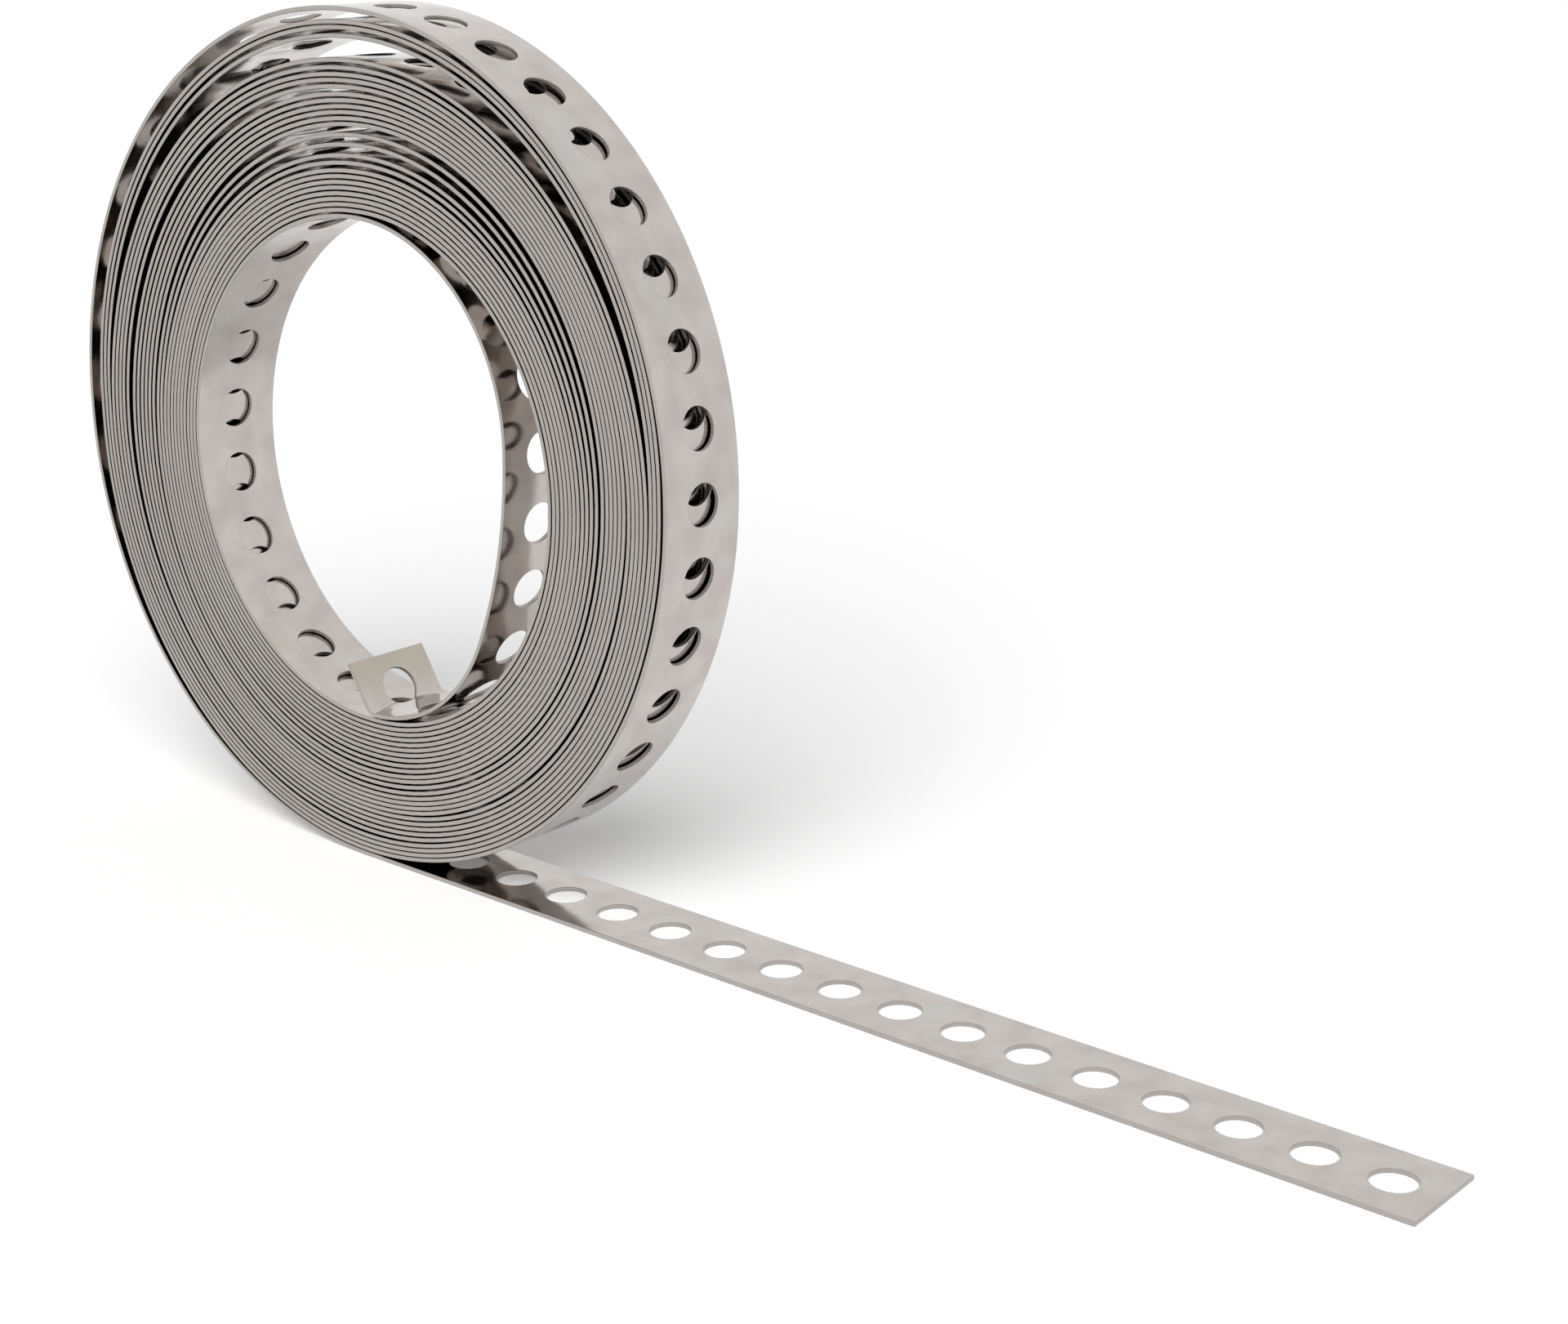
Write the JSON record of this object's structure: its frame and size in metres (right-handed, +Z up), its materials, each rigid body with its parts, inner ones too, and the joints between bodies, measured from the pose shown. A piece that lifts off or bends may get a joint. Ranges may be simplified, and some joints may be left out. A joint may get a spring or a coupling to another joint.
{
  "type": "perforated steel strap",
  "caption": "Coil of flat perforated steel strap standing on edge, its outer end run out flat, its inner end bent up as a tab.",
  "frame": {"origin": "on the floor at mid width, under the middle of the coil, on the underside of the free end", "axes": "+X along the free end towards its cut end, +Y across the strap, +Z up"},
  "size_m": [0.2772, 0.017, 0.147],
  "materials": {
    "steel": "bare mill-finish strip, soft satin sheen with faint grain"
  },
  "bodies": {
    "root": {"strap": "steel"}
  },
  "joints": []
}
